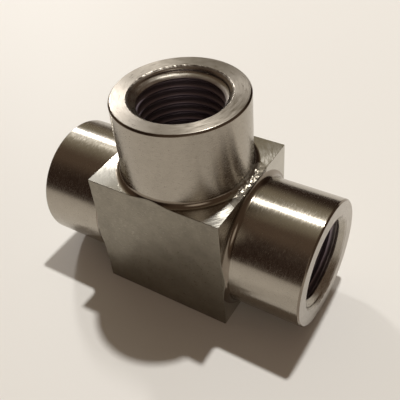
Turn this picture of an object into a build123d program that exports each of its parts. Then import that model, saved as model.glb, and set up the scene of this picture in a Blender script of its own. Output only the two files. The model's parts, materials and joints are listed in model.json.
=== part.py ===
from build123d import *
from math import radians, tan
import os

os.makedirs("parts", exist_ok=True)

# Female threaded tee, machined in one piece from stainless bar. Sizes are in millimetres.
# The run lies along X and the branch rises along +Z, and their axes cross above the origin.
# The origin is the middle of the block's underside, which rests on Z = 0.

# Block, left at full bar size between the three turned bosses
block_thickness = 19.0        # front flat to back flat
axis_height = 9.55            # underside up to the run axis
run_shoulder = 10.45          # crossing of the axes to either side shoulder
branch_shoulder = 10.25       # crossing of the axes up to the top shoulder

# Turned bosses
boss_diameter = 18.6
run_reach = 21.6              # crossing of the axes to either run end face
branch_reach = 21.6           # crossing of the axes to the branch end face
root_radius = 0.9             # fillet where a boss meets its shoulder
end_chamfer = 0.25            # broken edge round each end face

# Ports for a G 1/4 parallel pipe thread, bored to the minor diameter of the thread
thread_minor_diameter = 11.445
mouth_diameter = 14.0         # countersink, measured in the end face
countersink_angle = 90.0      # included
bore_depth = 13.0             # end face to the end of the full-size bore
drill_point_angle = 118.0     # included
passage_diameter = 9.0        # drilled way from each port to the crossing

tool_overrun = 1.0            # how far a cutter runs out past an end face


# One boss with its axis up, measured from the crossing. The profile is a half section with
# the radius across and the distance from the crossing upwards. The root leaves the wall at a
# tangent and lies flat where it reaches the shoulder.
def turned_boss(shoulder, reach):
    wall = boss_diameter / 2
    with BuildPart() as boss:
        with BuildSketch(Plane.XZ):
            with BuildLine():
                TangentArc((wall, shoulder + root_radius), (wall + root_radius, shoulder), tangent=(0, -1))
                Polyline(
                    (wall + root_radius, shoulder),
                    (0, shoulder),
                    (0, reach),
                    (wall - end_chamfer, reach),
                    (wall, reach - end_chamfer),
                    (wall, shoulder + root_radius),
                )
            make_face()
        revolve(axis=Axis.Z)
    return boss.part


# What is cut out of one port, in the same half section: countersunk mouth, bore for the
# thread with the cone that its drill leaves, and the narrower way on to the crossing.
def port_hollow(reach):
    mouth = mouth_diameter / 2
    bore = thread_minor_diameter / 2
    passage = passage_diameter / 2
    flare = tan(radians(countersink_angle / 2))
    bore_end = reach - bore_depth
    cone_end = bore_end - (bore - passage) / tan(radians(drill_point_angle / 2))
    with BuildPart() as hollow:
        with BuildSketch(Plane.XZ):
            with BuildLine():
                Polyline(
                    (0, 0),
                    (passage, 0),
                    (passage, cone_end),
                    (bore, bore_end),
                    (bore, reach - (mouth - bore) / flare),
                    (mouth + tool_overrun * flare, reach + tool_overrun),
                    (0, reach + tool_overrun),
                    close=True,
                )
            make_face()
        revolve(axis=Axis.Z)
    return hollow.part


# A straight length of bar stock, centred on the origin and standing on the underside
def stock(length, height):
    return Box(length, block_thickness, height, align=(Align.CENTER, Align.CENTER, Align.MIN))


# Moves an arm that points up so that it points the given way out of the crossing
def from_crossing(arm, direction):
    return Plane(origin=(0, 0, axis_height), z_dir=direction) * arm


# The block and its bosses share the same flats, so each root fillet is cut off where it
# would spread past the front, back or underside of the bar it was turned from.
block_height = axis_height + branch_shoulder
run_bar = stock(2 * run_reach, block_height)
branch_bar = stock(2 * run_shoulder, axis_height + branch_reach)

tee_body = stock(2 * run_shoulder, block_height)
arms = [
    ((1, 0, 0), run_shoulder, run_reach, run_bar),
    ((-1, 0, 0), run_shoulder, run_reach, run_bar),
    ((0, 0, 1), branch_shoulder, branch_reach, branch_bar),
]
for direction, shoulder, reach, bar in arms:
    tee_body += from_crossing(turned_boss(shoulder, reach), direction) & bar
for direction, shoulder, reach, bar in arms:
    tee_body -= from_crossing(port_hollow(reach), direction)

export_step(tee_body, "parts/tee_body.step")
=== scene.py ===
import json
import random
from math import acos, atan2, cos, hypot, pi, radians, sin, sqrt, tan

import bmesh
import bpy
from mathutils import Matrix, Vector


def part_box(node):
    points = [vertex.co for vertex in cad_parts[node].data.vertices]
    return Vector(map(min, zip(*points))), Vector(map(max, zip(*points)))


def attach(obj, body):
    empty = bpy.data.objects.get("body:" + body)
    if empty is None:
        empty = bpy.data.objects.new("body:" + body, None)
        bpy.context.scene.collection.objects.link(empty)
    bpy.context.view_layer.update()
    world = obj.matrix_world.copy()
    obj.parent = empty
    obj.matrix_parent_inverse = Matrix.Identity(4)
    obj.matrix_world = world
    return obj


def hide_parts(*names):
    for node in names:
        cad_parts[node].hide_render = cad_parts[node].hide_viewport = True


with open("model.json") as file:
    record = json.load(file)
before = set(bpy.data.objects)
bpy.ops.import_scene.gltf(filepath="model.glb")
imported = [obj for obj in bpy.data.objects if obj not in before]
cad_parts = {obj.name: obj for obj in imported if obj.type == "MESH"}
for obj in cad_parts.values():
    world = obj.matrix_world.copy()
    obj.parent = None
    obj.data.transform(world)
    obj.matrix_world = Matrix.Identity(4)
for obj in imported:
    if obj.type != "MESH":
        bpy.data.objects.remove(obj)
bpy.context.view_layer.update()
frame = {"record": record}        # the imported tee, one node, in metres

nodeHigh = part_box("tee_body")[1]
mounts = {mount["name"]: mount for mount in frame["record"]["mounts"]}
mm = 0.001               # sizes below are in millimetres, and meshes are written in metres
micron = mm / 1000
chance = random.Random(11)


# Colours are sRGB hex values, as a painter would read them off. They turn to linear here, and
# share makes one dimmer or brighter.
def hexColour(code, share=1.0):
    channels = [int(code[i:i + 2], 16) / 255 for i in (0, 2, 4)]
    linear = [c / 12.92 if c <= 0.04045 else ((c + 0.055) / 1.055) ** 2.4 for c in channels]
    return (*[c * share for c in linear], 1.0)


# Adds one node with its settings, and links or sets its inputs. An input goes by its name, with
# _ for a space, or by its number as i0, i1 and so on.
def addNode(tree, kind, settings=None, **inputs):
    node = tree.nodes.new(kind)
    for name, value in (settings or {}).items():
        setattr(node, name, value)
    for name, value in inputs.items():
        key = int(name[1:]) if name[0] == "i" and name[1:].isdigit() else name.replace("_", " ")
        if isinstance(value, bpy.types.NodeSocket):
            tree.links.new(value, node.inputs[key])
        else:
            node.inputs[key].default_value = value
    return node


# The tee's own sizes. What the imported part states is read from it, and the rest is set here.
tee = {
    "axisHeight": mounts["run_port_right"]["pos_m"][2] / mm,
    "halfThickness": nodeHigh.y / mm,
    "runReach": nodeHigh.x / mm,
    "branchTop": nodeHigh.z / mm,
    "boreRadius": mounts["branch_port"]["dims"]["r_mm"],
    "boreDepth": 13.0,            # end face to the end of the full bore
    "runShoulder": 10.45,         # crossing of the axes to a side shoulder
    "branchShoulder": 10.25,      # crossing of the axes to the top shoulder
    "bossRadius": 9.3,
    "rootRadius": 0.9,            # fillet between boss and shoulder
    "endChamfer": 0.25,
    "endDish": 0.045,             # the branch's end face falls this much from rim to mouth
    "mouthRadius": 7.0,           # 90 degree countersink at the end face
    "passageRadius": 4.5,
    "drillPoint": 118.0,          # included angle left by the tapping drill
    "flatEdge": 0.08,             # broken edge between two flats
    "shoulderEdge": 0.045,        # the same between two shoulders, which just clears the roots
    "turnedEdge": 0.05,           # broken edge on a turned corner
    "mouthNicks": 0.22,           # how far the edge of each mouth leans about, from the tap's burr
    "drillStretch": 1.0,          # each stretch of a passage counts as this long for its drill marks
    "columns": 160,               # facets round each arm, a multiple of four
    "rootSteps": 8,
    "cornerGap": 0.15,            # a column that ends this near a shoulder's corner ends on it
}
tee["branchReach"] = tee["branchTop"] - tee["axisHeight"]

bore, mouth, passage = tee["boreRadius"], tee["mouthRadius"], tee["passageRadius"]
wall, root = tee["bossRadius"], tee["rootRadius"]
flare = wall + root               # where a full root fillet lies flat on the shoulder
columns = tee["columns"]
turn = 2 * pi / columns           # angle from one column to the next

# G 1/4 parallel pipe thread with 55 degree flanks, and rounded crests and roots
thread = {
    "pitch": 1.337,
    "depth": 0.856,
    "round": 0.1836,              # radius on crest and root
    "flank": 27.5,                # half of the thread angle
    "firstRow": 0.22,             # depth below the end face where the helical rows begin
    "lastRow": 12.6,
    "fullTo": 10.6,               # the tap's lead leaves shallower turns below this depth
    "lead": 1.9,
    "start": {"top": 0.35, "right": 0.53, "left": 0.1},     # where it enters each port, in turns
    "gap": 0.03,                  # rows closer than this to a ring are left out
}
crestHalf = thread["round"] * cos(radians(thread["flank"]))         # half the width of a rounding
crestLift = thread["round"] * (1 - sin(radians(thread["flank"])))   # and its rise

# Rows in one pitch, as shares of it: crest, root and mid flanks, and two to each half rounding
phases = {0.0, 0.25, 0.5, 0.75}
phaseDigits = 6
for middle in (0.0, 0.5, 1.0):
    for share in (-1.0, -0.5, 0.5, 1.0):
        phases.add(round(middle + share * crestHalf / thread["pitch"], phaseDigits))
rowPhases = sorted(phase for phase in phases if 0 <= phase < 1)
perTurn = len(rowPhases)


# How far the thread's surface stands outside the minor radius, at a share of one pitch
def threadLift(phase):
    across = abs((phase + 0.5) % 1 - 0.5) * thread["pitch"]
    half = thread["pitch"] / 2
    if across <= crestHalf:
        return thread["round"] - sqrt(thread["round"] ** 2 - across ** 2)
    if across >= half - crestHalf:
        return thread["depth"] - thread["round"] + sqrt(thread["round"] ** 2 - (half - across) ** 2)
    return crestLift + (across - crestHalf) / tan(radians(thread["flank"]))


# What each facet was finished by, in the order of the materials
finishNames = ["turned", "formed", "faced", "dulled", "squared", "torn", "ground", "tapped", "drilled"]
turned, formed, faced, dulled, squared, torn, ground, tapped, drilled = range(len(finishNames))

# The mesh is collected here, in millimetres from the crossing of the axes
points, pointNormals, facets = [], [], []
weldedPoints = {}
weldDigits = 4


def addPoint(place, normal=None, weld=False):
    key = tuple(round(c, weldDigits) for c in place)
    if weld and key in weldedPoints:
        return weldedPoints[key]
    points.append(Vector(place))
    pointNormals.append(normal)
    if weld:
        weldedPoints[key] = len(points) - 1
    return len(points) - 1


# Each corner of a facet is a point and where it lies in the tool's own millimetres: across the
# tool marks, along them, and the radius that they turn at, which is 0 on a flat
def addFacet(corners, finish):
    kept = [corner for i, corner in enumerate(corners) if corner[0] != corners[i - 1][0]]
    if len({point for point, place in kept}) > 2:
        facets.append((kept, finish))


# The six flats of the bar that the tee is made from, and the four round each arm in turn
rightward, backward, upward = Vector((1, 0, 0)), Vector((0, 1, 0)), Vector((0, 0, 1))
arms = ("top", "right", "left")
flatNormal = {
    "front": -backward,
    "back": backward,
    "top": upward,
    "bottom": -upward,
    "left": -rightward,
    "right": rightward,
}
flatDistance = {
    "front": tee["halfThickness"],
    "back": tee["halfThickness"],
    "top": tee["branchShoulder"],
    "bottom": tee["axisHeight"],
    "left": tee["runShoulder"],
    "right": tee["runShoulder"],
}
flatsAround = {
    "top": ["right", "back", "left", "front"],
    "right": ["back", "top", "front", "bottom"],
    "left": ["front", "top", "back", "bottom"],
}
cornerPoint = {}         # by flat and corner
edgeChain = {}           # by the flat that the points lie on and the flat that they border


def brokenEdge(one, other):
    return tee["shoulderEdge"] if one in arms and other in arms else tee["flatEdge"]


# Where three flats meet, each has a corner of its own, set in by the broken edges
def flatCorner(flat, *others):
    key = (flat, frozenset((flat, *others)))
    if key not in cornerPoint:
        place = Vector((0, 0, 0))
        for name in (flat, *others):
            inset = 0 if name == flat else brokenEdge(name, flat)
            place += flatNormal[name] * (flatDistance[name] - inset)
        cornerPoint[key] = addPoint(place, flatNormal[flat])
    return cornerPoint[key]


# Turns a profile of (radius, height, break) corners into rings of (radius, height, lean). Each
# corner is broken into two rings that lean as the stretches beside them. The first corner gives
# none, because a ring is there already.
def turnedRings(corners):
    rings = []
    for (r0, h0, break0), (r1, h1, break1) in zip(corners, corners[1:]):
        length = hypot(r1 - r0, h1 - h0)
        outwards, upwards = (r1 - r0) / length, (h1 - h0) / length
        lean = (-upwards, outwards)
        rings.append((r0 + outwards * break0, h0 + upwards * break0, lean))
        rings.append((r1 - outwards * break1, h1 - upwards * break1, lean))
    return rings[1:]


# One arm of the tee, built from the crossing out through the port and back down the boss. A lean
# is a normal in the plane of the arm's axis: how far it points outwards, and how far upwards.
class Arm:
    def __init__(self, name):
        self.name = name
        self.flats = flatsAround[name]
        self.side = flatNormal[self.flats[0]]
        self.over = flatNormal[self.flats[1]]
        self.out = flatNormal[name]
        self.reach = tee["branchReach"] if name == "top" else tee["runReach"]
        self.shoulder = flatDistance[name]
        self.insets = [brokenEdge(name, flat) for flat in self.flats]

    def place(self, radius, angle, height):
        return self.side * (radius * cos(angle)) + self.over * (radius * sin(angle)) + self.out * height

    def normal(self, angle, lean):
        return self.place(lean[0], angle, lean[1])

    # Every ring draws its nicks, so that a change of one ring leaves the others as they are
    def ring(self, radius, height, lean, nicks=0.0):
        made = []
        for i in range(columns):
            nick = Vector([chance.uniform(-nicks, nicks) for axis in range(3)])
            normal = (self.normal(i * turn, lean) + nick).normalized()
            made.append(addPoint(self.place(radius, i * turn, height), normal))
        return made

    def joinRings(self, before, after, finish, alongBefore, alongAfter, radius):
        for i in range(columns):
            j = (i + 1) % columns
            a0, a1 = i * turn * radius, (i + 1) * turn * radius
            addFacet([
                (before[i], (alongBefore, a0, radius)), (before[j], (alongBefore, a1, radius)),
                (after[j], (alongAfter, a1, radius)), (after[i], (alongAfter, a0, radius)),
            ], finish)

    # Passage from the crossing, the cone of the tapping drill, and the foot of the bore
    def drillPassage(self):
        crossing = []
        for i in range(columns):
            angle = i * turn
            height = abs(passage * cos(angle)) if self.name == "top" else max(0.0, passage * sin(angle))
            place = self.place(passage, angle, height)
            crossing.append(addPoint(place, self.normal(angle, (-1, 0)), weld=True))
        boreEnd = self.reach - tee["boreDepth"]
        coneEnd = boreEnd - (bore - passage) / tan(radians(tee["drillPoint"] / 2))
        rings = turnedRings([
            (passage, 0, 0), (passage, coneEnd, tee["turnedEdge"]),
            (bore, boreEnd, tee["turnedEdge"]), (bore, self.reach - thread["lastRow"], 0),
        ])
        previous, along = crossing, 0.0
        for radius, height, lean in rings:
            current = self.ring(radius, height, lean)
            reached = along + tee["drillStretch"]
            self.joinRings(previous, current, drilled, along, reached, radius)
            previous, along = current, reached
        return previous

    # A right-hand thread runs deeper as it turns clockwise, seen from outside
    def rowDepth(self, row, angle):
        turns = row // perTurn + rowPhases[row % perTurn] - angle / (2 * pi) + thread["start"][self.name]
        return turns * thread["pitch"]

    def rowRadius(self, row, depth):
        share = min(1.0, max(0.0, (thread["fullTo"] + thread["lead"] - depth) / thread["lead"]))
        cut = bore + min(threadLift(rowPhases[row % perTurn]), thread["depth"] * share)
        return max(cut, mouth - depth)

    # Helical rows of the thread, in columns that end at the ring at its foot and at its mouth
    def cutThread(self, foot, top):
        columnRows = []
        for i in range(columns):
            rows = {}
            row = -perTurn
            while self.rowDepth(row, i * turn) < thread["lastRow"] - thread["gap"]:
                depth = self.rowDepth(row, i * turn)
                if depth > thread["firstRow"] + thread["gap"]:
                    rows[row] = addPoint(self.place(self.rowRadius(row, depth), i * turn, self.reach - depth))
                row += 1
            columnRows.append(rows)

        def cornersAt(column, found, rows):
            angle = column * turn
            return [(found[row], (self.rowDepth(row, angle), angle * bore, bore)) for row in rows]

        for i in range(columns):
            j = (i + 1) % columns
            here = columnRows[i]
            shift = perTurn if j == 0 else 0             # the last column meets the next turn
            there = {row + shift: point for row, point in columnRows[j].items()}
            a0, a1 = i * turn * bore, (i + 1) * turn * bore
            shared = sorted(set(here) & set(there))
            for row in shared[:-1]:
                addFacet(cornersAt(i, here, (row, row + 1)) + cornersAt(i + 1, there, (row + 1, row)), tapped)
            first, last = shared[0], shared[-1]
            addFacet([
                (top[i], (thread["firstRow"], a0, bore)),
                *cornersAt(i, here, sorted(row for row in here if row <= first)),
                *cornersAt(i + 1, there, sorted((row for row in there if row <= first), reverse=True)),
                (top[j], (thread["firstRow"], a1, bore)),
            ], tapped)
            addFacet([
                (foot[j], (thread["lastRow"], a1, bore)),
                *cornersAt(i + 1, there, sorted((row for row in there if row >= last), reverse=True)),
                *cornersAt(i, here, sorted(row for row in here if row >= last)),
                (foot[i], (thread["lastRow"], a0, bore)),
            ], tapped)

    # Countersink, end face, broken edge and boss wall. Returns the last ring and how far along the
    # profile it lies.
    def turnBoss(self, top):
        dish = tee["endDish"] if self.name == "top" else 0.0
        face = dulled if self.name == "top" else faced
        finishes = [face, face, face, face, formed, formed, turned]
        lastRadius, lastHeight = mouth - thread["firstRow"], self.reach - thread["firstRow"]
        rings = turnedRings([
            (lastRadius, lastHeight, 0),
            (mouth, self.reach - dish, tee["turnedEdge"]),
            (wall - tee["endChamfer"], self.reach, tee["turnedEdge"]),
            (wall, self.reach - tee["endChamfer"], tee["turnedEdge"]),
            (wall, self.shoulder + root, 0),
        ])
        previous, along = top, 0.0
        for number, ((radius, height, lean), finish) in enumerate(zip(rings, finishes)):
            current = self.ring(radius, height, lean, 0.0 if number else tee["mouthNicks"])
            reached = along + hypot(radius - lastRadius, height - lastHeight)
            self.joinRings(previous, current, finish, along, reached, radius)
            previous, along = current, reached
            lastRadius, lastHeight = radius, height
        return previous, along

    # Angle and radius where each column of the root fillet ends: on the shoulder, or sooner at a
    # flat of the bar that it would spread past
    def rootEnds(self):
        ends = [(i * turn, flare) for i in range(columns)]
        for quarter, (flat, inset) in enumerate(zip(self.flats, self.insets)):
            limit = flatDistance[flat] - inset
            if limit >= flare:
                continue
            halfArch = acos(limit / flare)
            steps = round(halfArch / turn)
            for k in range(-steps, steps + 1):
                offset = k * turn if abs(k) < steps else halfArch * (1 if k > 0 else -1)
                column = (quarter * columns // 4 + k) % columns
                ends[column] = (quarter * pi / 2 + offset, limit / cos(offset))
        return ends

    # Rings of the root fillet, from the foot of the wall to where each column ends
    def formRoot(self, previous, along, ends):
        stepLength = root * pi / 2 / tee["rootSteps"]
        for step in range(1, tee["rootSteps"] + 1):
            share = step / tee["rootSteps"]
            current = []
            for i, (endAngle, endRadius) in enumerate(ends):
                drift = (endAngle - i * turn + pi) % (2 * pi) - pi
                angle = i * turn + share * drift
                sweep = share * acos(max(0.0, min(1.0, (flare - endRadius) / root)))
                radius = flare - root * cos(sweep)
                height = self.shoulder + root - root * sin(sweep)
                normal = self.normal(angle, (cos(sweep), sin(sweep)))
                current.append(addPoint(self.place(radius, angle, height), normal))
            self.joinRings(previous, current, formed, along, along + stepLength, wall)
            previous, along = current, along + stepLength
        return previous

    # Height of the whole fillet at a radius
    def rootHeight(self, radius):
        if radius >= flare:
            return self.shoulder
        return self.shoulder + root - sqrt(root ** 2 - (flare - radius) ** 2)

    # Which of the four flats a column meets first as it runs out over the shoulder, and where
    def firstFlat(self, column):
        met = []
        for quarter, (flat, inset) in enumerate(zip(self.flats, self.insets)):
            towards = cos(column * turn - quarter * pi / 2)
            if towards > 0:
                met.append(((flatDistance[flat] - inset) / towards, quarter))
        return min(met)

    # Shoulder: what is left of the bar's end outside the fillet, squared in the same setting.
    # Its columns run out to the flats, and its own corners go in between.
    def squareShoulder(self, rim, rootEnds):
        quarters = zip(self.flats, self.flats[1:] + self.flats[:1])
        ownCorners = [flatCorner(self.name, one, other) for one, other in quarters]
        border, meets = [], []
        for i, (endAngle, endRadius) in enumerate(rootEnds):
            radius, quarter = self.firstFlat(i)
            flat, inset = self.flats[quarter], self.insets[quarter]
            meets.append(flat)
            if endRadius < flare:
                border.append(rim[i])
                sharp = flatDistance[flat] / cos(endAngle - quarter * pi / 2)
                onFlat = self.place(sharp, endAngle, self.rootHeight(sharp) - inset)
            else:
                spot = self.place(radius, i * turn, self.shoulder)
                nearest = min(ownCorners, key=lambda corner: (points[corner] - spot).length)
                if (points[nearest] - spot).length < tee["cornerGap"]:
                    border.append(nearest)
                    continue
                border.append(addPoint(spot, self.out))
                onFlat = self.place(radius, i * turn, self.shoulder - inset) + flatNormal[flat] * inset
            edgeChain.setdefault((self.name, flat), []).append(border[i])
            if flat not in arms:
                edgeChain.setdefault((flat, self.name), []).append(addPoint(onFlat, flatNormal[flat]))

        # Where a point lies under the tool, with its angle on the same turn as the one given
        def toolPlace(point, near):
            across, up = points[point].dot(self.side), points[point].dot(self.over)
            angle = atan2(up, across)
            angle += 2 * pi * round((near - angle) / (2 * pi))
            return (hypot(across, up), angle * flare, flare)

        for i in range(columns):
            j = (i + 1) % columns
            outline = [rim[i], rim[j], border[j]]
            if meets[i] != meets[j]:
                outline.append(flatCorner(self.name, meets[i], meets[j]))
            outline.append(border[i])
            addFacet([(point, toolPlace(point, (i + 0.5) * turn)) for point in outline], squared)

    def build(self):
        foot = self.drillPassage()
        depth = thread["firstRow"]
        top = self.ring(mouth - depth, self.reach - depth, (-sqrt(0.5), sqrt(0.5)))
        self.cutThread(foot, top)
        wallFoot, along = self.turnBoss(top)
        ends = self.rootEnds()
        rim = self.formRoot(wallFoot, along, ends)
        self.squareShoulder(rim, ends)
        print("arm built:", self.name, len(points), "points so far")


for name in arms:
    Arm(name).build()


# The flats were ground along the bar, so the marks run level on front and back
def addFlatFacet(flat, outline):
    if flat in ("front", "back"):
        addFacet([(point, (points[point].z, points[point].x, 0)) for point in outline], ground)
    else:
        addFacet([(point, (points[point].y, points[point].x, 0)) for point in outline], ground)


# Points that lie on one flat where it borders another, in order along that edge. Every edge
# runs rightward, backward or upward, and ends at the two flats that face along it.
def chainAlong(flat, other):
    along = flatNormal[flat].cross(flatNormal[other])
    along = along if along.dot(rightward + backward + upward) > 0 else -along
    ends = [name for name, normal in flatNormal.items() if abs(normal.dot(along)) > 0.5]
    chain = edgeChain.get((flat, other), []) + [flatCorner(flat, other, end) for end in ends]
    return sorted(set(chain), key=lambda point: points[point].dot(along))


# Broken edges between the flats, in quads where their points pair up, and the eight corners
blockEdges = [
    ("top", "front"), ("top", "back"), ("top", "left"), ("top", "right"),
    ("left", "front"), ("left", "back"), ("left", "bottom"),
    ("right", "front"), ("right", "back"), ("right", "bottom"),
    ("front", "bottom"), ("back", "bottom"),
]
for one, other in blockEdges:
    near, far = chainAlong(one, other), chainAlong(other, one)
    if len(near) == len(far):
        for i in range(len(near) - 1):
            addFlatFacet(one, [near[i], near[i + 1], far[i + 1], far[i]])
    else:
        addFlatFacet(one, near + far[::-1])
for corner in sorted({corner for flat, corner in cornerPoint}, key=sorted):
    flats = sorted(corner)
    addFlatFacet(flats[0], [cornerPoint[(flat, corner)] for flat in flats])


# The front, back and underside are single facets whose outline follows their four edges
def buildFlat(flat, around):
    outline = []
    for side, before in zip(around, around[-1:] + around):
        chain = chainAlong(flat, side)
        start = flatCorner(flat, before, side)
        outline += (chain if chain[0] == start else chain[::-1])[:-1]
    addFlatFacet(flat, outline)


buildFlat("front", ["bottom", "right", "top", "left"])
buildFlat("back", ["bottom", "right", "top", "left"])
buildFlat("bottom", ["front", "right", "back", "left"])
print("block closed:", len(facets), "facets")

# The two boss cutters met beside the top right edge and left a torn, glittering strip there.
# Places are from the crossing of the axes, and each fade is how far it takes to die out.
burr = {
    "middle": -0.5,               # middle of the strip, from front to back
    "half": 4.6,                  # half its length
    "endFade": 1.6,
    "inner": 8.9,                 # from here out to the outer edge
    "innerFade": 0.4,
    "outer": 10.5,
    "low": 10.12,                 # from here up to the high edge
    "high": 11.0,
    "highFade": 0.2,
    "sharpFade": 0.02,            # at the outer and the low edge
    "grain": 0.1,                 # edges longer than this are cut in two
    "cuts": 3,                    # times over
    "lift": 0.07,                 # how far a point is torn out of place
}


def burrShare(point):
    return min(
        (burr["half"] - abs(point.y - burr["middle"])) / burr["endFade"],
        (point.x - burr["inner"]) / burr["innerFade"],
        (burr["outer"] - point.x) / burr["sharpFade"],
        (point.z - burr["low"]) / burr["sharpFade"],
        (burr["high"] - point.z) / burr["highFade"],
        1.0,
    )


# Cuts the strip up small, moves its points about, and returns the ones that moved
def tearStrip(bm, crossing):
    for cut in range(burr["cuts"]):
        inside = {vert for vert in bm.verts if burrShare(vert.co / mm - crossing) > 0}
        longEdges = [
            edge for edge in bm.edges
            if inside.issuperset(edge.verts) and edge.calc_length() > burr["grain"] * mm
        ]
        bmesh.ops.subdivide_edges(bm, edges=longEdges, cuts=1)
        bmesh.ops.triangulate(bm, faces=[face for face in bm.faces if inside.intersection(face.verts)])
    moved = set()
    for vert in bm.verts:
        nudge = Vector([chance.uniform(-1, 1) for axis in range(3)])
        share = burrShare(vert.co / mm - crossing)
        if share > 0:
            vert.co += nudge * burr["lift"] * share * mm
            moved.add(vert)
    return moved


# The UV map toolMap gives a finish its direction. The attribute toolPath holds the same place
# with its turn wound up round the axis, so that a pattern closes without a seam.
def writeMesh(name):
    crossing = Vector((0, 0, tee["axisHeight"]))
    bm = bmesh.new()
    made = [bm.verts.new((point + crossing) * mm) for point in points]
    mapping = bm.loops.layers.uv.new("toolMap")
    path = bm.loops.layers.float_vector.new("toolPath")
    for corners, finish in facets:
        face = bm.faces.new([made[point] for point, place in corners])
        face.material_index = finish
        face.smooth = True
        for loop, (point, (across, along, radius)) in zip(face.loops, corners):
            loop[mapping].uv = (across, along)
            if radius:
                loop[path] = (across, radius * cos(along / radius), radius * sin(along / radius))
            else:
                loop[path] = (across, along, 0)
    moved = tearStrip(bm, crossing)
    for face in bm.faces:
        if len(moved.intersection(face.verts)) > 2:
            face.material_index = torn
    bmesh.ops.recalc_face_normals(bm, faces=bm.faces)
    openEdges = sum(len(edge.link_faces) != 2 for edge in bm.edges)
    volume = round(bm.calc_volume() / mm ** 3, 1)
    print("mesh written:", len(bm.faces), "faces,", openEdges, "open edges,", volume, "cubic mm")
    mesh = bpy.data.meshes.new(name)
    bm.to_mesh(mesh)
    bm.free()

    # A torn facet is flat, and elsewhere a point has its own normal or else the mesh's
    found = [vertex.normal.copy() for vertex in mesh.vertices]
    wanted = [own or found[i] for i, own in enumerate(pointNormals)] + found[len(pointNormals):]
    loopNormals = []
    for polygon in mesh.polygons:
        flatFacet = polygon.material_index == torn
        loopNormals += [tuple(polygon.normal if flatFacet else wanted[v]) for v in polygon.vertices]
    mesh.normals_split_custom_set(loopNormals)
    piece = bpy.data.objects.new(name, mesh)
    bpy.context.scene.collection.objects.link(piece)
    return piece


body = writeMesh("teeBody")
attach(body, "root")
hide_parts("tee_body")


# An empty material, to be built from nodes alone
def newMaterial(name):
    material = bpy.data.materials.new(name)
    material.use_nodes = True
    material.node_tree.nodes.clear()
    return material, material.node_tree


# What each tool left on the stainless steel. markWidth and markLength are the size of a tool
# mark across and along the tool's way, wave and blotch the size of the slow waves and stains,
# all in millimetres, and depths are in microns. A real turning or grinding mark is under
# 0.08 mm wide, too fine to show here, so marks are drawn some two to four times as coarse.
steel = {
    # Boss walls turned with a fine feed: bright stripes that run along the boss, softly grained
    "turned": {
        "name": "turnedStainlessSteel", "colour": "aba499", "roughness": 0.235, "anisotropic": 0.88,
        "markWidth": 0.167, "markLength": 0.59, "markDepth": 0.35, "wave": 5.0, "waveDepth": 35.0,
        "roughSpread": 0.5, "stain": 0.12, "blotch": 2.5,
    },
    # Roots and broken edges cut by the tool's own form: smooth, and dark where they mirror the room
    "formed": {
        "name": "formedStainlessSteel", "colour": "8a8074", "roughness": 0.16, "anisotropic": 0.4,
        "markWidth": 0.167, "markLength": 1.67, "markDepth": 0.4, "wave": 3.0, "waveDepth": 20.0,
        "roughSpread": 0.5, "stain": 0.2, "blotch": 2.0,
    },
    # Ends of the run faced across in the lathe: pale and even, with a satin look
    "faced": {
        "name": "facedStainlessSteel", "colour": "bfbab3", "roughness": 0.394, "anisotropic": 0.45,
        "markWidth": 0.125, "markLength": 1.67, "markDepth": 2.0, "wave": 4.0, "waveDepth": 8.0,
        "roughSpread": 0.5, "stain": 0.15, "blotch": 1.5,
    },
    # End of the branch, faced with a coarser feed and handled since: greyer, with a wide soft fan
    "dulled": {
        "name": "dulledStainlessSteel", "colour": "958e85", "roughness": 0.38, "anisotropic": 0.66,
        "markWidth": 0.125, "markLength": 1.67, "markDepth": 4.0, "wave": 4.0, "waveDepth": 8.0,
        "roughSpread": 0.6, "stain": 0.2, "blotch": 1.5,
    },
    # Shoulders squared in the same setting as the boss: flashes in some places and dark in others
    "squared": {
        "name": "squaredStainlessSteel", "colour": "bab6ad", "roughness": 0.21, "anisotropic": 0.92,
        "markWidth": 0.167, "markLength": 1.25, "markDepth": 1.0, "wave": 3.0, "waveDepth": 10.0,
        "roughSpread": 0.6, "stain": 0.15, "blotch": 1.5,
    },
    # Burr torn up between two cuts: small facets that glitter
    "torn": {
        "name": "tornStainlessSteel", "colour": "8f887d", "roughness": 0.34, "anisotropic": 0.0,
        "markWidth": 0.125, "markLength": 0.125, "markDepth": 6.0, "wave": 2.0, "waveDepth": 5.0,
        "roughSpread": 0.6, "stain": 0.3, "blotch": 0.5,
    },
    # Flats of the bar as ground at the mill: grey and matt, with short scratches along the bar
    "ground": {
        "name": "groundStainlessSteel", "colour": "8d877b", "roughness": 0.36, "anisotropic": 0.3,
        "markWidth": 0.2, "markLength": 0.625, "markDepth": 4.5, "wave": 1.6, "waveDepth": 16.0,
        "roughSpread": 0.7, "stain": 0.3, "blotch": 2.5,
    },
    # Thread cut with a tap: shiny on the first turn, and darker and rougher further down, the darkening a
    # painted shade in the hole
    "tapped": {
        "name": "tappedStainlessSteel", "colour": "a8a298", "roughness": 0.28, "anisotropic": 0.0,
        "markWidth": 0.167, "markLength": 1.0, "markDepth": 0.8, "wave": 3.0, "waveDepth": 2.0,
        "roughSpread": 0.4, "stain": 0.25, "blotch": 1.5,
    },
    # Passages left by the drill, which no light reaches: dark and rough
    "drilled": {
        "name": "drilledStainlessSteel", "colour": "5c5350", "roughness": 0.42, "anisotropic": 0.0,
        "markWidth": 0.333, "markLength": 2.0, "markDepth": 2.0, "wave": 3.0, "waveDepth": 4.0,
        "roughSpread": 0.4, "stain": 0.25, "blotch": 1.5,
    },
}
# Painted shade deep in the thread, with a rougher finish there too, from and to these depths below the end
# face in millimetres
deepThreadShade = {"colour": "8a7f87", "roughness": 0.5, "from": 1.1, "to": 1.9}


noiseLow, noiseHigh = 0.3, 0.7    # nearly all of a noise lies between these


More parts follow.
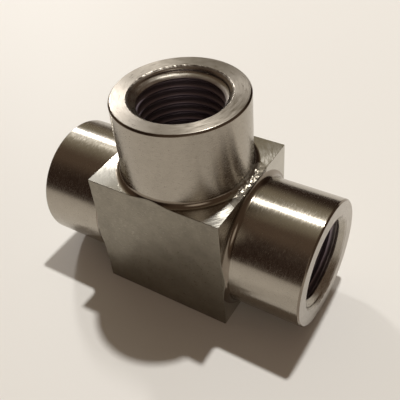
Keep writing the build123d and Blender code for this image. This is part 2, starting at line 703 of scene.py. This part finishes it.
# Fine marks follow the tool's way, so light is drawn out across them, and slow waves keep a
# reflection's border from running dead straight
def steelFinish(kind):
    look = steel[kind]
    material, tree = newMaterial(look["name"])
    path = addNode(tree, "ShaderNodeAttribute", {"attribute_name": "toolPath"}).outputs["Vector"]
    place = addNode(tree, "ShaderNodeTexCoord").outputs["Object"]

    perWidth, perLength = 1 / look["markWidth"], 1 / look["markLength"]
    marksAt = addNode(tree, "ShaderNodeVectorMath", {"operation": "MULTIPLY"},
                      i0=path, i1=(perWidth, perLength, perLength)).outputs[0]
    marks = addNode(tree, "ShaderNodeTexNoise", Vector=marksAt, Scale=1.0, Detail=3.0,
                    Roughness=0.6).outputs[0]
    waves = addNode(tree, "ShaderNodeTexNoise", Vector=place, Scale=1 / (look["wave"] * mm),
                    Detail=1.0).outputs[0]
    swell = addNode(tree, "ShaderNodeBump", Height=waves, Strength=1.0,
                    Distance=look["waveDepth"] * micron).outputs[0]
    bump = addNode(tree, "ShaderNodeBump", Height=marks, Strength=1.0,
                   Distance=look["markDepth"] * micron, Normal=swell).outputs[0]

    # The same marks are smoother and rougher by turns, and stains make the metal paler and darker
    spread = look["roughSpread"] * look["roughness"]
    roughness = addNode(tree, "ShaderNodeMapRange", Value=marks, From_Min=noiseLow, From_Max=noiseHigh,
                        To_Min=look["roughness"] - spread / 2,
                        To_Max=look["roughness"] + spread / 2).outputs[0]
    stains = addNode(tree, "ShaderNodeTexNoise", Vector=place, Scale=1 / (look["blotch"] * mm),
                     Detail=4.0, Roughness=0.7).outputs[0]
    colour = addNode(tree, "ShaderNodeMix", {"data_type": "RGBA"}, i0=stains,
                     i6=hexColour(look["colour"], 1 - look["stain"]),
                     i7=hexColour(look["colour"], 1 + look["stain"])).outputs[2]
    # In the thread, the first number of toolPath is the depth below the end face, and the colour darkens with
    # it as painted shade
    if kind == "tapped":
        depth = addNode(tree, "ShaderNodeSeparateXYZ", Vector=path).outputs[0]
        threadShadeShare = addNode(tree, "ShaderNodeMapRange", Value=depth, From_Min=deepThreadShade["from"],
                        From_Max=deepThreadShade["to"]).outputs[0]
        colour = addNode(tree, "ShaderNodeMix", {"data_type": "RGBA"}, i0=threadShadeShare, i6=colour,
                         i7=hexColour(deepThreadShade["colour"])).outputs[2]
        roughness = addNode(tree, "ShaderNodeMix", i0=threadShadeShare, i2=roughness,
                            i3=deepThreadShade["roughness"]).outputs[0]

    tangent = addNode(tree, "ShaderNodeTangent", {"direction_type": "UV_MAP", "uv_map": "toolMap"})
    shader = addNode(tree, "ShaderNodeBsdfPrincipled", Base_Color=colour, Metallic=1.0,
                     Roughness=roughness, Anisotropic=look["anisotropic"],
                     Tangent=tangent.outputs[0], Normal=bump)
    addNode(tree, "ShaderNodeOutputMaterial", Surface=shader.outputs[0])
    return material


for kind in finishNames:
    body.data.materials.append(steelFinish(kind))
print("steel finishes:", ", ".join(finishNames))


# Matt white paper as pressed, for the floor: an even, pale ground with no shine
floorLook = {"name": "mattePaper", "colour": "e4e1dd", "roughness": 0.6, "half": 600.0}
half = floorLook["half"] * mm
floorMesh = bpy.data.meshes.new("floor")
floorCorners = [(-half, -half, 0), (half, -half, 0), (half, half, 0), (-half, half, 0)]
floorMesh.from_pydata(floorCorners, [], [(0, 1, 2, 3)])
floorPiece = bpy.data.objects.new("floor", floorMesh)
bpy.context.scene.collection.objects.link(floorPiece)
paper, paperTree = newMaterial(floorLook["name"])
paperShader = addNode(paperTree, "ShaderNodeBsdfPrincipled", Base_Color=hexColour(floorLook["colour"]),
                      Roughness=floorLook["roughness"])
addNode(paperTree, "ShaderNodeOutputMaterial", Surface=paperShader.outputs[0])
floorMesh.materials.append(paper)
print("floor laid:", floorLook["half"] * 2, "mm square")


# Camera, close above the front right corner as in the photograph
view = {
    "azimuth": 35.04,             # from straight in front, towards the right
    "elevation": 42.96,
    "roll": -5.64,
    "place": (38.88, -52.37, 71.38),
    "focal": 53.09,               # for the width of the sensor
    "sensor": 36.0,
    "shift": (-0.0125, 0.02),
    "nearest": 5.0,
}
azimuth, elevation, roll = (radians(view[key]) for key in ("azimuth", "elevation", "roll"))
viewBack = Vector((sin(azimuth) * cos(elevation), -cos(azimuth) * cos(elevation), sin(elevation)))
levelSide = Vector((cos(azimuth), sin(azimuth), 0))
levelUp = viewBack.cross(levelSide)
viewSide = levelSide * cos(roll) + levelUp * sin(roll)
viewUp = levelUp * cos(roll) - levelSide * sin(roll)
lens = bpy.data.cameras.new("camera")
lens.lens = view["focal"]
lens.sensor_width = view["sensor"]
lens.shift_x, lens.shift_y = view["shift"]
lens.clip_start = view["nearest"] * mm
camera = bpy.data.objects.new("camera", lens)
heading = Matrix((viewSide, viewUp, viewBack)).transposed().to_4x4()
camera.matrix_world = Matrix.Translation(Vector(view["place"]) * mm) @ heading
bpy.context.scene.collection.objects.link(camera)
bpy.context.scene.camera = camera
print("camera set:", view["focal"], "mm lens")


# Lights: a small lamp high behind the tee, and a softer window low behind it to the left
lamps = {
    "key": {
        "towards": (-0.01, 0.36, 1.0), "distance": 600.0, "size": 28.0, "power": 2.6, "colour": "fffefa",
    },
    "window": {
        "towards": (-0.673, 0.528, 0.518), "distance": 500.0, "size": 44.0, "power": 0.6, "colour": "fffdfa",
    },
}
for name, lamp in lamps.items():
    disk = bpy.data.lights.new(name, "AREA")
    disk.shape = "DISK"
    disk.size = lamp["size"] * mm
    disk.energy = lamp["power"]
    disk.color = hexColour(lamp["colour"])[:3]
    towards = Vector(lamp["towards"]).normalized()
    light = bpy.data.objects.new(name, disk)
    light.location = (towards * lamp["distance"] + Vector((0, 0, tee["axisHeight"]))) * mm
    light.rotation_euler = towards.to_track_quat("Z", "Y").to_euler()
    bpy.context.scene.collection.objects.link(light)
    print("lamp hung:", name, lamp["power"], "W")


# The room that the steel reflects: brown and dim, with patches given by the way they lie in and
# the angles in degrees where each one starts to fade and is gone. Later patches cover earlier ones.
room = {
    "base": "69584a",
    "patches": [
        # Dark far side of the room, and a dark corner to the left of the camera
        {"towards": (0.0, 1.0, 0.12), "fade": (18.0, 42.0), "colour": "3a2c24", "strength": 1.0},
        {"towards": (-0.45, -0.82, 0.35), "fade": (12.0, 38.0), "colour": "33251f", "strength": 1.0},
        # Pale wall behind the camera, which the roots show as a thin line
        {"towards": (0.585, -0.618, 0.525), "fade": (4.0, 20.0), "colour": "fff4e6", "strength": 0.95},
        # Ceiling lit round the lamp, wall lit round the window, and the window itself
        {"towards": (-0.2, 0.36, 0.9), "fade": (4.0, 38.0), "colour": "a69d88", "strength": 1.0},
        {"towards": (-0.673, 0.528, 0.518), "fade": (6.0, 34.0), "colour": "a59b86", "strength": 1.0},
        {"towards": (-0.673, 0.528, 0.518), "fade": (6.0, 11.5), "colour": "ffffff", "strength": 1.3},
    ],
}
world = bpy.data.worlds.new("room")
world.use_nodes = True
roomTree = world.node_tree
roomTree.nodes.clear()
outlook = addNode(roomTree, "ShaderNodeTexCoord").outputs["Generated"]
tone = addNode(roomTree, "ShaderNodeRGB").outputs[0]
tone.default_value = hexColour(room["base"])
for patch in room["patches"]:
    full, gone = patch["fade"]
    facing = addNode(roomTree, "ShaderNodeVectorMath", {"operation": "DOT_PRODUCT"}, i0=outlook,
                     i1=Vector(patch["towards"]).normalized()).outputs["Value"]
    share = addNode(roomTree, "ShaderNodeMapRange", {"interpolation_type": "SMOOTHSTEP"}, i0=facing,
                    i1=cos(radians(gone)), i2=cos(radians(full))).outputs[0]
    tone = addNode(roomTree, "ShaderNodeMix", {"data_type": "RGBA"}, i0=share, i6=tone,
                   i7=hexColour(patch["colour"], patch["strength"])).outputs[2]
sky = addNode(roomTree, "ShaderNodeBackground", Color=tone)
addNode(roomTree, "ShaderNodeOutputWorld", Surface=sky.outputs[0])
bpy.context.scene.world = world
bpy.context.scene.view_settings.view_transform = "Standard"
print("room painted:", len(room["patches"]), "patches")
